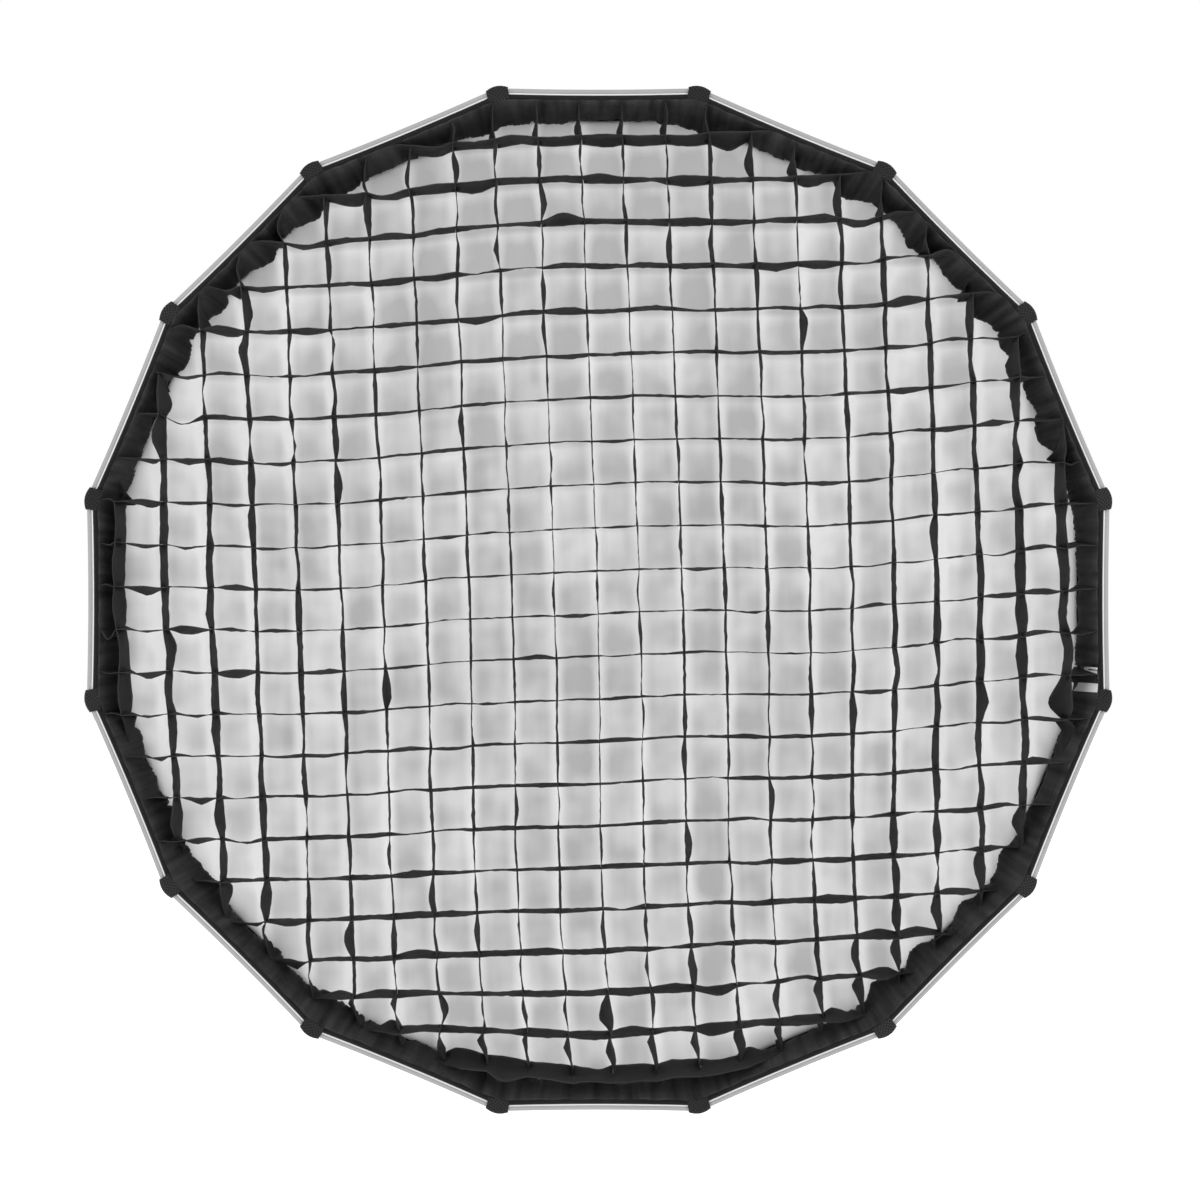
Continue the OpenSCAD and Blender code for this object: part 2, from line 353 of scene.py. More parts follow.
def cloth_material(
    name, dark, light, roughness, threads, thread_depth,
    wrinkle=0.0006, sheen=0.04, painted_thread_shade=0.0, painted_pleat_streaks=False,
):
    """Woven cloth. The weave and small wrinkles are bumps, their depths in metres, and its colour wanders
    between dark and light, in streaks from front to back where streaking is asked for, which are painted
    light and shade of pleats. threads is how far apart they are, in millimetres. Its darkening between the
    threads, as strong as asked for, is painted shade."""
    material = bpy.data.materials.new(name)
    material.use_nodes = True
    tree = material.node_tree
    principled = tree.nodes["Principled BSDF"]
    place = add_node(tree, "ShaderNodeTexCoord").outputs["Object"]
    patches = noise(tree, place, 14.0, 5.0)
    # Painted light and shade of pleats: the colour runs in streaks from front to back
    if painted_pleat_streaks:
        streaks = noise(tree, drawn_out(tree, attribute(tree, "weave"), (0.08, 0.007, 0.08)), 1.0, 7.0)
        patches = map_range(tree, streaks, (0.32, 0.66), (0.0, 1.0))
    colour = mixed(tree, patches, grey(dark), grey(light))
    height = thread_height(tree, *threads)
    # Painted shade: the colour is darker between the threads
    if painted_thread_shade:
        colour = mixed(tree, height, grey(dark * (1 - painted_thread_shade)), colour)
    soft = noise(tree, place, 90.0, 4.0)
    wrinkles = add_node(tree, "ShaderNodeBump", {"Height": soft, "Distance": wrinkle, "Strength": 0.6})
    weave_bump = {"Height": height, "Distance": thread_depth, "Strength": 0.5, "Normal": wrinkles.outputs[0]}
    bump = add_node(tree, "ShaderNodeBump", weave_bump)
    tree.links.new(colour, principled.inputs["Base Color"])
    tree.links.new(bump.outputs[0], principled.inputs["Normal"])
    looks = {"Roughness": roughness, "Sheen Weight": sheen, "Sheen Roughness": 0.5, "Specular IOR Level": 0.3}
    for setting, value in looks.items():
        principled.inputs[setting].default_value = value
    return material


def let_light_through(material, share):
    """Mixes a translucent shader into a thin cloth."""
    tree = material.node_tree
    principled = tree.nodes["Principled BSDF"]
    colour = principled.inputs["Base Color"].links[0].from_socket
    normal = principled.inputs["Normal"].links[0].from_socket
    through = add_node(tree, "ShaderNodeBsdfTranslucent", {"Color": colour, "Normal": normal})
    mix = add_node(tree, "ShaderNodeMixShader", {0: share, 1: principled.outputs[0], 2: through.outputs[0]})
    tree.links.new(mix.outputs[0], tree.nodes["Material Output"].inputs["Surface"])


def paint_cell_light_and_shade(material, middle, edge):
    """Paints light and shade into a cloth's colour by its place in the lattice, which its cells attribute
    holds in millimetres: middle, a painted shade, in the middle of a cell, edge, a painted highlight, beside
    the strips. The cells far out to the left and right are painted brighter on the side towards the axis,
    those near the top are painted brighter in their upper part and shaded lower down."""
    tree = material.node_tree
    place = add_node(tree, "ShaderNodeTexCoord").outputs["Object"]
    halo_patchiness = noise(tree, place, 22.0, 1.0)
    streaks = noise(tree, drawn_out(tree, place, (26.0, 1.0, 5.0)), 1.0, 4.0)
    parts = add_node(tree, "ShaderNodeSeparateXYZ", {"Vector": attribute(tree, "cells")}).outputs
    # For each direction: the place, how far aside the strips are seen on the cloth behind them, the width of
    # the painted bright band, and how much darker a cell's low end is painted than its high end, a painted
    # shade
    rises, slopes = [], []
    for place_in, aside, width, darker in (
        (parts[0], ((-550, 550), (12.4, -12.4)), PITCH * 0.28, ((-550, 450), (0.42, -0.42))),
        (parts[1], ((-550, 150), (10.0, 2.0)), PITCH * 0.36, ((-150, 450), (0.0, 0.8))),
    ):
        shifted = math_node(tree, "ADD", place_in, map_range(tree, place_in, *aside))
        away = math_node(tree, "PINGPONG", shifted, PITCH / 2)
        rises.append(map_range(tree, away, (0.0, width), (0.0, 1.0), interpolation_type="SMOOTHSTEP"))
        in_cell = math_node(tree, "FRACT", math_node(tree, "DIVIDE", shifted, PITCH))
        slope = math_node(tree, "SUBTRACT", 0.5, in_cell)
        slope = math_node(tree, "MULTIPLY", slope, map_range(tree, place_in, *darker))
        slopes.append(math_node(tree, "MULTIPLY", slope, map_range(tree, away, (0.0, 4.0), (0.0, 1.0))))
    share = math_node(tree, "MULTIPLY", rises[0], map_range(tree, rises[1], (0.0, 1.0), (0.7, 1.0)))
    # Noise makes the painted highlight beside the strips patchy
    share = math_node(tree, "MULTIPLY", share, map_range(tree, halo_patchiness, (0.3, 0.7), (0.35, 1.0)))
    share = math_node(tree, "ADD", share, map_range(tree, streaks, (0.3, 0.7), (-0.12, 0.28)))
    share = math_node(tree, "ADD", share, math_node(tree, "ADD", *slopes))
    # Painted shade makes the top darker, painted light makes the two sides brighter
    share = math_node(tree, "ADD", share, map_range(tree, parts[1], (100, 480), (0.0, 0.28)))
    from_centre = math_node(tree, "ABSOLUTE", parts[0])
    share = math_node(tree, "ADD", share, map_range(tree, from_centre, (150, 420), (0.0, -0.2)))
    tree.links.new(mixed(tree, share, edge, middle), tree.nodes["Principled BSDF"].inputs["Base Color"])


grid_cloth = cloth_material("grid_cloth", 0.019, 0.028, 0.8, (0.5, 0.5), 0.00006, sheen=0.0)
# The skirt's colour streaks are painted light and shade of its pleats
skirt_cloth = cloth_material("skirt_cloth", 0.006, 0.048, 0.7, (0.5, 0.5), 0.00006, 0.0016, painted_pleat_streaks=True)
lip_cloth = cloth_material("lip_cloth", 0.005, 0.012, 0.6, (0.6, 0.6), 0.00008, wrinkle=0.0014)
binding_tape = cloth_material("binding_tape", 0.33, 0.40, 0.55, (0.8, 1.6), 0.00012, wrinkle=0.0003)
white_piping = cloth_material("white_piping", 0.70, 0.78, 0.5, (0.6, 0.6), 0.00008, wrinkle=0.0002)
# The webbing is painted darker between its threads, a painted shade
webbing = cloth_material("coarse_webbing", 0.006, 0.050, 0.85, (2.2, 2.2), 0.003, painted_thread_shade=0.97)
loop_pile = cloth_material("loop_pile", 0.006, 0.018, 0.95, (0.35, 0.35), 0.0003)
hook_pile = cloth_material("hook_pile", 0.010, 0.018, 0.6, (1.5, 1.5), 0.0004)
diffuser_cloth = cloth_material("diffuser_cloth", 0.86, 0.98, 0.8, (0.4, 0.4), 0.00004, wrinkle=0.0004)
tag_cloth = cloth_material("tag_cloth", 0.76, 0.86, 0.45, (0.3, 0.6), 0.00003, wrinkle=0.0003)
black_thread = cloth_material("black_thread", 0.012, 0.03, 0.5, (0.3, 0.3), 0.0001)
grey_thread = cloth_material("grey_thread", 0.30, 0.42, 0.5, (0.3, 0.3), 0.0001)
cup_plastic = cloth_material("cup_plastic", 0.010, 0.016, 0.42, (0.9, 0.9), 0.00001, sheen=0.0)
# The diffuser's colour is painted light and shade: a painted highlight beside the strips, painted shade in
# each cell's middle
paint_cell_light_and_shade(diffuser_cloth, grey(0.64), grey(0.99))
let_light_through(diffuser_cloth, 0.78)
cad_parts["rod_cups"].data.materials.clear()
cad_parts["rod_cups"].data.materials.append(cup_plastic)

# ---- Strips ----

FRONT_EDGE, BACK_EDGE = 0, 1
STRIP_THICKNESS = 0.8
SLOT_HALF = 0.6
STEPS_PER_CELL = 8
STRIP_ROWS = 8
row_share = np.linspace(0, 1, STRIP_ROWS + 1)[:, None]
row_depth = GRID_FRONT + row_share * GRID_DEPTH

# How far each crossing has wandered, at the front and the back edge: [edge, across or up, column, row]
middle_out = np.hypot(*np.meshgrid(PLACES, PLACES, indexing="ij")) / PLACES[-1]
wander = rng.uniform(-1, 1, (2, 2, COUNT, COUNT)) * (0.9 + 1.2 * middle_out**3)
# Half-way out the strips lean, their back edges away from the axis. The outermost lean the other way,
# the lowest most of all.
spread = np.sign(PLACES) * np.interp(np.abs(PLACES), [60, 250, 450, 500, 550], [0, 2, 2, 0.6, -1.8])
LEANS = {"upright": spread, "level": np.where(PLACES == PLACES[0], 8.5, spread)}
wander[BACK_EDGE, 0] += LEANS["upright"][:, None]
wander[BACK_EDGE, 1] += LEANS["level"][None, :]


def lean(kind, across, up):
    """How far a stretch's back edge leans over, out near the skirt: down at the ends of the level strips,
    to the left at the lower ends of the upright ones."""
    if kind == "upright":
        return -4.5 * np.clip((-up - 320) / 160, 0, 1) * np.clip((across + 350) / 400, 0.2, 1)
    return -3.0 * np.clip((abs(across) - 330) / 160, 0, 1)


# A strip stops this far inside the skirt, as measured to the middle of its cloth
END_CLEARANCE = 0.5
# No point of a strip comes closer to the skirt than this
SKIRT_CLEARANCE = 0.4
# No strip is longer than twice this
LONGEST_HALF = 700.0
# At a crossing closer than this to a strip's end, all of that end is cut away to half depth
SLOT_FROM_END = 4


def bulge_shape(share, peak, pointed):
    """0 at both ends of a stretch and 1 at its peak."""
    rise = np.where(share < peak, share / peak, (1 - share) / (1 - peak))
    return rise if pointed else np.sin(rise * math.pi / 2) ** 1.3


def end_of(sideways, upright, way):
    """How far a strip runs to the skirt in the direction way (1 or -1), at each of its rows. sideways is
    where each row is, across it."""
    near, far = np.zeros_like(row_depth), np.full_like(row_depth, LONGEST_HALF)
    for _ in range(26):
        middle = (near + far) / 2
        x, z = hung(sideways, way * middle) if upright else hung(way * middle, sideways)
        inside = np.hypot(x, z) < skirt_radius(np.arctan2(z, x), row_depth, SKIRT_INNER) - END_CLEARANCE
        near, far = np.where(inside, middle, near), np.where(inside, far, middle)
    return way * near


# A stretch shorter than this is left out of the loose ends below (SHORT_TOP at the top). The ends of the
# strips further out than OUTERMOST fall in towards the axis instead, by OUTERMOST_FALL.
SHORT = 28
SHORT_TOP = 12
OUTERMOST = 440
OUTERMOST_FALL = 7
# How much more a short stretch of an upright strip swells, where it is the one at the end
SHORT_SWELL = 1.6
# What the stretch next to the skirt does at each end of a strip: (edge, size, spread, pointed)
LOOSE_ENDS = {
    ("upright", 1): (BACK_EDGE, -7.0, 2.0, False),
    ("upright", -1): (BACK_EDGE, -8.5, 2.5, True),
    ("level", 1): (BACK_EDGE, 4.0, 1.5, False),
    ("level", -1): (BACK_EDGE, -9.0, 3.0, True),
}
# The front edge of a strip drops back over this length before its end on the lower half of the skirt
DROP_LENGTH = 34
DROP_BACK = 30
LOWER_HALF = -250
# Stretches that stand out: (kind, number, place where the stretch starts) -> (edge, size, pointed)
LOBES = {
    ("upright", 23, -150.0): (BACK_EDGE, -14.0, False),
    ("upright", 23, -100.0): (FRONT_EDGE, 2.5, False),
    ("upright", 22, -450.0): (BACK_EDGE, -9.0, True),
    ("upright", 20, -450.0): (BACK_EDGE, -8.0, True),
    ("level", 20, -500.0): (BACK_EDGE, -8.0, True),
    ("level", 3, -350.0): (BACK_EDGE, -5.0, True),
    ("level", 4, -450.0): (BACK_EDGE, -6.0, True),
    ("level", 5, -450.0): (BACK_EDGE, -5.0, False),
    ("level", 20, 300.0): (BACK_EDGE, 6.0, True),
    ("upright", 2, -50.0): (BACK_EDGE, 6.0, False),
    ("upright", 2, -250.0): (FRONT_EDGE, -5.0, True),
    ("upright", 3, -250.0): (FRONT_EDGE, -5.0, True),
}
# Where a strip ends on the skirt, its back edge is sewn this far to one side, besides its own lean. An end
# that isn't named here gets a small random one.
END_SLANTS = {("level", 10 + k, 1): slant for k, slant in enumerate((4.0, 6.5, 6.0, 6.5, 9.0))}
skirt_joins = []


def strip(kind, number):
    """One strip, wavy between its crossings, half cut through at each of them."""
    upright = kind == "upright"
    line = number - 1 if upright else COUNT - number
    at = PLACES[line]
    cross, along = (0, 1) if upright else (1, 0)
    wander_at = wander[:, :, line, :] if upright else wander[:, :, :, line]
    slants = rng.normal(0, 0.8, 2)
    slants = [END_SLANTS.get((kind, number, way), slant) for way, slant in zip((-1, 1), slants)]
    slants = [LEANS[kind][line] + slant for slant in slants]
    low, high = [end_of(at + slant * row_share, upright, way) for way, slant in zip((-1, 1), slants)]
    inside = [k for k in range(COUNT) if low.min() < PLACES[k] < high.max()]
    slotted = row_share[:-1, 0] < 0.5 if upright else row_share[:-1, 0] >= 0.5
    clear = [low.max() + SLOT_FROM_END < PLACES[k] < high.min() - SLOT_FROM_END for k in inside]

    dropping = [way for way in (-1, 1) if (way < 0 if upright else at < LOWER_HALF)]
    # The back edge jogs a little on both sides of a crossing
    jogs = rng.uniform(-0.7, 0.7, (2, COUNT + 2))

    end_offs = np.zeros((2, 2, 2))
    end_offs[:, BACK_EDGE, cross] = slants
    stations = [(low, end_offs[0], 0.0)]
    stations += [(np.full_like(low, PLACES[k]), wander_at[:, :, k], SLOT_HALF) for k in inside]
    stations += [(high, end_offs[1], 0.0)]
    stretches = len(stations) - 1
    # How far each stretch swells at its front and its back edge. One in six swells much more.
    sizes = rng.normal(0, 1, (2, stretches))
    sizes = np.where(rng.random((2, stretches)) < 0.16, sizes * 2.4, sizes)
    peaks = rng.uniform(0.3, 0.7, (2, stretches))
    curls = rng.normal(0, 0.7, stretches)
    lengths = [float((stations[k + 1][0] - stations[k][0]).mean()) for k in range(stretches)]
    short_last = SHORT_TOP if upright else SHORT
    end_stretches = (int(lengths[0] < SHORT), stretches - 1 - int(lengths[-1] < short_last))
    columns, depths, weave_at, solid = [], [], [], []
    for k in range(stretches):
        (start, start_off, start_gap), (stop, stop_off, stop_gap) = stations[k], stations[k + 1]
        start, stop = np.clip(start + start_gap, low, high), np.clip(stop - stop_gap, low, high)
        middle = float((start + stop).mean() / 2)
        sizes[:, k] *= 0.8 + 1.5 * (math.hypot(at, middle) / PLACES[-1]) ** 3
        sizes[BACK_EDGE, k] += lean(kind, *((at, middle) if upright else (middle, at)))
        pointed = [rng.random() < 0.3, rng.random() < 0.5]
        for way, end_stretch in zip((-1, 1), end_stretches):
            if k == end_stretch:
                edge, size, spread, sharp = LOOSE_ENDS[kind, way]
                if abs(at) > OUTERMOST:
                    size, sharp = -np.sign(at) * OUTERMOST_FALL, False
                if upright and 0 < lengths[k] < SHORT:
                    size *= SHORT_SWELL
                sizes[edge, k] = size + rng.uniform(-spread, spread)
                pointed[edge] = sharp
        lobe = LOBES.get((kind, number, float(PLACES[inside[k - 1]]) if k else None))
        if lobe:
            sizes[lobe[0], k], pointed[lobe[0]] = lobe[1], lobe[2]
        fray = rng.normal(0, 0.3, (2, STEPS_PER_CELL + 1))
        for step, share in enumerate(np.linspace(0, 1, STEPS_PER_CELL + 1)):
            place = start + (stop - start) * share
            off = start_off + (stop_off - start_off) * share
            swell = [sizes[e, k] * bulge_shape(share, peaks[e, k], pointed[e]) for e in (0, 1)]
            swell = [swell[e] + fray[e, step] * math.sin(math.pi * share) for e in (0, 1)]
            if step in (0, STEPS_PER_CELL) and 0 < k < stretches - 1:
                swell[BACK_EDGE] += jogs[min(step, 1), k]
            curl = curls[k] * math.sin(math.pi * share) * 4 * row_share * (1 - row_share)
            shift = off[0] + (off[1] - off[0]) * row_share
            sideways = at + shift[:, [cross]] + swell[0] * (1 - row_share) + swell[1] * row_share + curl
            lengthways = place + shift[:, [along]]
            columns.append(hung(sideways, lengthways) if upright else hung(lengthways, sideways))
            weave_at.append(place)
            solid.append(np.ones(STRIP_ROWS, bool))
            to_ends = [abs(float((place - (low, high)[way > 0]).mean())) for way in dropping]
            drop_back = DROP_BACK * max(0, 1 - min(to_ends, default=DROP_LENGTH) / DROP_LENGTH) ** 0.7
            depths.append(row_depth + drop_back * (1 - row_share))
        if k < len(inside):
            solid[-1] = ~slotted
            if not clear[k] and PLACES[inside[k]] < 0:
                solid[:-1] = [rows & ~slotted for rows in solid[:-1]]
        if k > 0 and not clear[k - 1] and PLACES[inside[k - 1]] > 0:
            last = slice(-STEPS_PER_CELL - 1, None)
            solid[last] = [rows & ~slotted for rows in solid[last]]
    x = np.concatenate([c[0] for c in columns], axis=1)
    z = np.concatenate([c[1] for c in columns], axis=1)
    y = np.concatenate(depths, axis=1)
    reach = skirt_radius(np.arctan2(z, x), y, SKIRT_INNER) - SKIRT_CLEARANCE
    inside_skirt = np.minimum(1, reach / np.hypot(x, z))
    x, z = x * inside_skirt, z * inside_skirt
    points = xyz(x, y, z)
    length = np.concatenate(weave_at, axis=1)
    weave = xyz(length, y, 0).reshape(-1, 3)
    keep = np.array(solid[:-1]).T
    for side in (0, -1):
        skirt_joins.append(float(np.arctan2(points[-1, side, 2], points[-1, side, 0])))
    piece = Piece(f"{kind}_strip_{number:02d}_cloth")
    faces = lattice_faces(STRIP_ROWS + 1, x.shape[1], keep=keep)
    piece.add_sheet(points.reshape(-1, 3), faces, weave, STRIP_THICKNESS)
    cloth = piece.build(grid_cloth, "grid", "grid_fabric", [f"{kind}_strip_{number:02d}"])


for kind in ("upright", "level"):
    for number in range(1, COUNT + 1):
        strip(kind, number)

# ---- Skirt and what is sewn to it ----

RIM_STEPS = 1440
joins = np.sort(np.array(skirt_joins) % FULL_TURN)
flap_width = np.diff(np.append(joins, joins[0] + FULL_TURN))
taut = rng.random(len(joins)) < 0.35
flap_size = np.where(taut, rng.uniform(0, 2, len(joins)), rng.uniform(2.5, 8, len(joins)))
flap_size *= np.clip(flap_width / (PITCH / SKIRT_INNER), 0, 1)
# They are small on the right-hand side
flap_size *= 1 - 0.75 * np.exp(-(((np.degrees(joins + math.pi) % 360 - 180) / 15) ** 4))
flap_peak = rng.uniform(0.08, 0.92, len(joins))
# A small notch beside each strip's end: how far from it, how deep
notch_from = rng.uniform(5, 14, len(joins))
notch_size = rng.uniform(1, 6.5, len(joins))
NOTCH_HALF = 4.0
# How far a strip's end pulls the skirt in, and how wide that is
END_PULL = 1.3
END_PULL_REACH = 5
# A layer of the skirt may stand this far beyond its place on the creased lip before it is held back
LIP_PRESS = 0.4


def flap(angle):
    """How far the skirt's free back edge falls in, between the ends of two strips, and how far a strip's
    end pulls it in."""
    turned = (angle - joins[0]) % FULL_TURN + joins[0]
    k = np.clip(np.searchsorted(joins, turned, side="right") - 1, 0, len(joins) - 1)
    share = np.clip((turned - joins[k]) / flap_width[k], 0, 1)
    from_start = share * flap_width[k] * SKIRT_INNER
    from_end = np.minimum(from_start, flap_width[k] * SKIRT_INNER - from_start)
    notch = notch_size[k] * np.clip(1 - np.abs(from_start - notch_from[k]) / NOTCH_HALF, 0, 1)
    rise = np.where(share < flap_peak[k], share / flap_peak[k], (1 - share) / (1 - flap_peak[k]))
    pull = END_PULL * np.exp(-((from_end / END_PULL_REACH) ** 2))
    return flap_size[k] * np.sin(math.pi / 2 * rise) ** 0.8 + pull - notch


def skirt_wall(apart):
    """The radius of a layer that moves with the skirt, flaps and creases included, kept inside the lip."""

    def radius(angle, depth):
        share = np.clip((depth - GRID_FRONT) / GRID_DEPTH, 0, 1)
        creases = (0.7 + 0.6 * share) * ripple(angle, depth, 70, 11)
        creases = creases + 0.9 * share**4 * ripple(angle, 0, 260, 19)
        hanging = skirt_radius(angle, depth, apart) - flap(angle) * share**FOLD_GROWTH + creases
        return np.minimum(hanging, lip_radius(angle, depth, apart) + LIP_PRESS)

    return radius


def off_joint(angle, depth, distance):
    """All but the gap between the skirt's two ends."""
    height = distance * np.sin(angle)
    return (np.cos(angle) < 0) | (height < GAP_LOW) | (height > GAP_HIGH)


skirt = Piece("skirt_cloth")
skirt.add_sheet(
    *round_rim(skirt_wall(SKIRT_MIDDLE), np.linspace(GRID_FRONT, GRID_BACK, 13), RIM_STEPS, keep=off_joint),
    SKIRT_OUTER - SKIRT_INNER,
)
skirt = skirt.build(skirt_cloth, "grid", "grid_fabric", ["grid_skirt"])


def tape(name, node, radius, material, body, slot, keep=None, steps=960):
    """A tape that goes round the rim in place of its CAD node. radius(apart) gives its wall's radius."""
    outer, inner, front, back = wall(node)
    piece = Piece(name)
    depths = np.linspace(front, back, 6)
    piece.add_sheet(*round_rim(radius((outer + inner) / 2), depths, steps, keep=keep), outer - inner)
    piece = piece.build(material, body, slot, [node])


def lip_wall(apart):
    return lambda angle, depth: lip_radius(angle, depth, apart)


tape(
    "grid_hook_tape_pile", "grid_hook_tape", skirt_wall, hook_pile, "grid", "hook_tape",
    off_joint, RIM_STEPS,
)
for node in ("front_loop_tape", "rear_loop_tape"):
    tape(f"{node}_pile", node, lip_wall, loop_pile, "rim", "loop_tape")
tape(
    "diffuser_hook_band_pile", "diffuser_hook_band", lip_wall, hook_pile, "diffuser", "hook_tape",
)

# ---- Rim ----

lip = Piece("lip_cloth")
lip.add_sheet(
    *round_rim(lip_wall((LIP_OUTER + LIP_INNER) / 2), np.linspace(FRONT, LIP_BACK, 20), RIM_STEPS),
    LIP_OUTER - LIP_INNER,
)
lip = lip.build(lip_cloth, "rim", "lip_fabric", ["lip_band"])


def round_section(section, steps, closed=False):
    """Points, quads and weave of a section, (distance from the axis, depth), carried round the rim."""
    angle, apart = np.meshgrid(np.arange(steps) / steps * FULL_TURN, section[:, 0])
    distance = polygon_radius(angle, apart) - bow(angle)
    points = xyz(distance * np.cos(angle), section[:, [1]], distance * np.sin(angle)).reshape(-1, 3)
    along = np.concatenate([[0], np.cumsum(np.hypot(*np.diff(section, axis=0).T))])[:, None]
    weave = xyz(angle * RIM_EDGE, along, 0).reshape(-1, 3)
    quads = lattice_faces(len(section), steps, closed=True)
    if closed:
        last = (len(section) - 1) * steps
        here = np.arange(steps)
        after = (here + 1) % steps
        quads = np.concatenate([quads, np.stack([last + here, last + after, after, here], axis=1)])
    return points, quads, weave


BINDING_THICKNESS = 0.6
binding_inner = LIP_OUTER + 2.2
bend = np.linspace(0, math.pi, 9)
fold_half = (RIM_EDGE - binding_inner - BINDING_THICKNESS) / 2
fold_middle = (RIM_EDGE + binding_inner) / 2
fold_depth = fold_half * 0.5
fold_front = FRONT + fold_depth + BINDING_THICKNESS / 2
fold = np.concatenate([
    [[fold_middle - 0.8, BINDING_BACK], [fold_middle - fold_half, BINDING_BACK - 3]],
    np.stack([fold_middle - fold_half * np.cos(bend), fold_front - fold_depth * np.sin(bend)], axis=1),
    [[fold_middle + fold_half, BINDING_BACK - 3], [fold_middle + 0.8, BINDING_BACK]],
])
binding = Piece("binding_tape_cloth")
binding.add_sheet(*round_section(fold, RIM_STEPS), BINDING_THICKNESS)
binding = binding.build(binding_tape, "rim", "binding_tape", ["edge_binding"])

bead = np.linspace(0, FULL_TURN, 12, endpoint=False)
bead_radius = 1.05
bead_apart = LIP_OUTER + 1.1
bead_depth = FRONT + bead_radius + 0.1
bead_section = np.stack([np.cos(bead), np.sin(bead)], axis=1) * bead_radius + (bead_apart, bead_depth)
piping = Piece("piping_bead")
piping.add(*round_section(bead_section, RIM_STEPS, closed=True))
piping.build(white_piping, "rim", "white_piping", ["edge_piping"])

# ---- Corner pockets ----

POCKET_THICKNESS = 1.7
POCKET_HALF = 12.6
POCKET_COLUMNS = 27
POCKET_MIDDLE = POCKET_COLUMNS // 2
RIM_CORNER = RIM_EDGE / math.cos(HALF_SIDE)
# Behind the fold the pocket runs between these depths, and narrows to its sleeve over NARROWING
SLEEVE_FRONT = BINDING_BACK
SLEEVE_BACK = -0.3
NARROWING = 8
# The fold over the rim: (distance beyond the rim's corner, depth behind the rim's front, how much less
# the distance is at the pocket's two sides)
POCKET_FOLD = np.array([
    (-14.5, -1.0, 0.4),
    (-10.0, -1.2, 0.9),
    (-5.5, -1.25, 1.8),
    (-2.0, -1.2, 2.6),
    (0.3, -0.6, 3.2),
    (1.5, 0.7, 3.5),
    (1.9, 2.6, 3.6),
    (1.9, 7.0, 3.6),
])
# The middle of the pocket is a sleeve round the cup, up to SLEEVE_SHARE of its half-width and SLEEVE_TURN
# round the cup. Beyond FLAT_SHARE it lies flat on the lip, from FOOT_HALF outwards.
SLEEVE_SHARE, FLAT_SHARE = 0.5, 0.62
SLEEVE_TURN = math.radians(118)
FOOT_HALF = 6.4


def pocket_points(rows, fray):
    """(out from the axis, depth, sideways) of a pocket at a corner: it folds over the rim and narrows to
    a sleeve round the rod's cup. fray moves the cut edges."""
    side = np.linspace(-1, 1, POCKET_COLUMNS)
    steps = np.concatenate([[0], np.cumsum(np.hypot(*np.diff(POCKET_FOLD[:, :2], axis=0).T))])
    fold_at = np.interp(np.linspace(0, steps[-1], rows), steps, np.arange(len(steps)))
    known = np.arange(len(steps))
    out, depth, less = [np.interp(fold_at, known, column)[:, None] for column in POCKET_FOLD.T]
    folded = xyz(RIM_CORNER + out - less * side**2, FRONT + depth, POCKET_HALF * side)
    behind = np.linspace(SLEEVE_FRONT, SLEEVE_BACK, rows)[:, None]
    lip_line = LIP_OUTER + POCKET_THICKNESS / 2 + 0.1 - drift(behind)
    around = np.clip(np.abs(side) / SLEEVE_SHARE, 0, 1) * SLEEVE_TURN
    sleeve = CUP_OUTER + POCKET_THICKNESS / 2 + 0.05
    foot = np.clip((np.abs(side) - SLEEVE_SHARE) / (FLAT_SHARE - SLEEVE_SHARE), 0, 1)
    out_flat = np.clip((np.abs(side) - FLAT_SHARE) / (1 - FLAT_SHARE), 0, 1)
    flange = FOOT_HALF + out_flat * (POCKET_HALF - FOOT_HALF)
    across = np.where(foot > 0, sleeve * np.sin(around) * (1 - foot) + flange * foot, sleeve * np.sin(around))
    flat_out = (lip_line - across * math.sin(HALF_SIDE)) / math.cos(HALF_SIDE)
    tube_out = CUP_CIRCLE + sleeve * np.cos(around)
    tube_out = tube_out * (1 - foot) + flat_out * foot
    tube = xyz(tube_out, behind, np.sign(side) * across)
    straight = folded[-1] + (behind - folded[-1, 0, 1])[..., None] * np.array([0.0, 1.0, 0.0])
    narrow = np.clip((behind - SLEEVE_FRONT) / NARROWING, 0, 1)[..., None]
    narrow = narrow**2 * (3 - 2 * narrow)
    points = np.concatenate([folded, straight * (1 - narrow) + tube * narrow])
    points[0, :, 0] += fray[0, :POCKET_COLUMNS]
    points[:, 0, 2] += fray[1, : len(points)]
    points[:, -1, 2] += fray[2, : len(points)]
    return points


def corner_frame(corner):
    """The directions out from the axis and sideways at a corner."""
    angle = HALF_SIDE + corner * SIDE_ANGLE
    return np.array([math.cos(angle), 0, math.sin(angle)]), np.array([-math.sin(angle), 0, math.cos(angle)])


POCKET_ROWS = 24
black_seams = Piece("black_stitching_rim")
for corner in range(SIDES):
    local = pocket_points(POCKET_ROWS, rng.normal(0, 0.3, (3, 2 * POCKET_ROWS)))
    outward, sideways = corner_frame(corner)
    points = local[..., [0]] * outward + local[..., [1]] * np.array([0, 1, 0]) + local[..., [2]] * sideways
    run = np.concatenate([[0], np.cumsum(np.linalg.norm(np.diff(local[:, POCKET_MIDDLE], axis=0), axis=1))])
    weave = xyz(local[..., 2], run[:, None], 0).reshape(-1, 3)
    faces = lattice_faces(len(local), POCKET_COLUMNS)[:, ::-1]
    pocket = Piece(f"corner_pocket_{corner + 1:02d}_webbing")
    pocket.add_sheet(points.reshape(-1, 3), faces, weave, POCKET_THICKNESS)
    pocket = pocket.build(webbing, "rim", "webbing", ["corner_pockets"])

# ---- Closure tab and care tag, on the skirt's inner face ----

